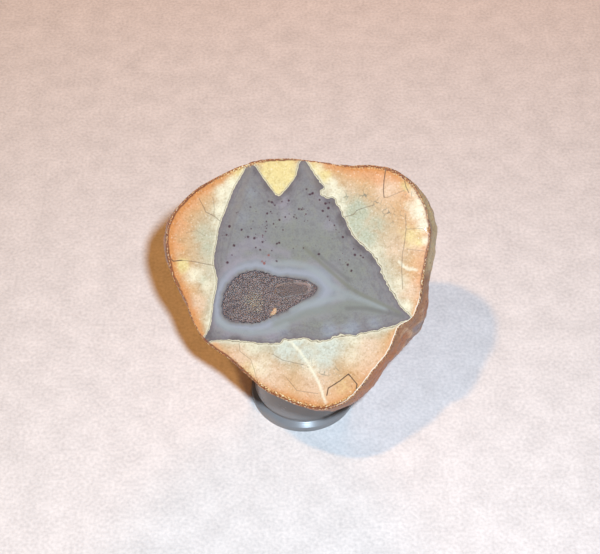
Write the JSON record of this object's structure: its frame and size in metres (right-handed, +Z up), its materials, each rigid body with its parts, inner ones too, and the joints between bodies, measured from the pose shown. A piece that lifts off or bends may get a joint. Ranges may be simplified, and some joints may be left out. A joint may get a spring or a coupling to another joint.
{
  "type": "thunder egg half on a ring stand",
  "caption": "Cut and polished thunder egg half with an agate middle, a small hollow of quartz crystals and a knobby brown rind, leaning back on a grey ring stand.",
  "frame": {"origin": "on the surface it stands on, under the middle of the bounding box", "axes": "+Z up; the polished face looks towards -Y and up; +X to the right as the face is seen"},
  "size_m": [0.0844, 0.0716, 0.0815],
  "materials": {
    "rhyolite_and_agate": "polished face, rough glossy rind",
    "quartz": "small bright crystal faces",
    "grey_plastic": "satin, turned"
  },
  "bodies": {
    "root": {"thunder_egg_half": "rhyolite_and_agate", "crystal_crust": "quartz", "ring_stand": "grey_plastic"}
  },
  "joints": []
}
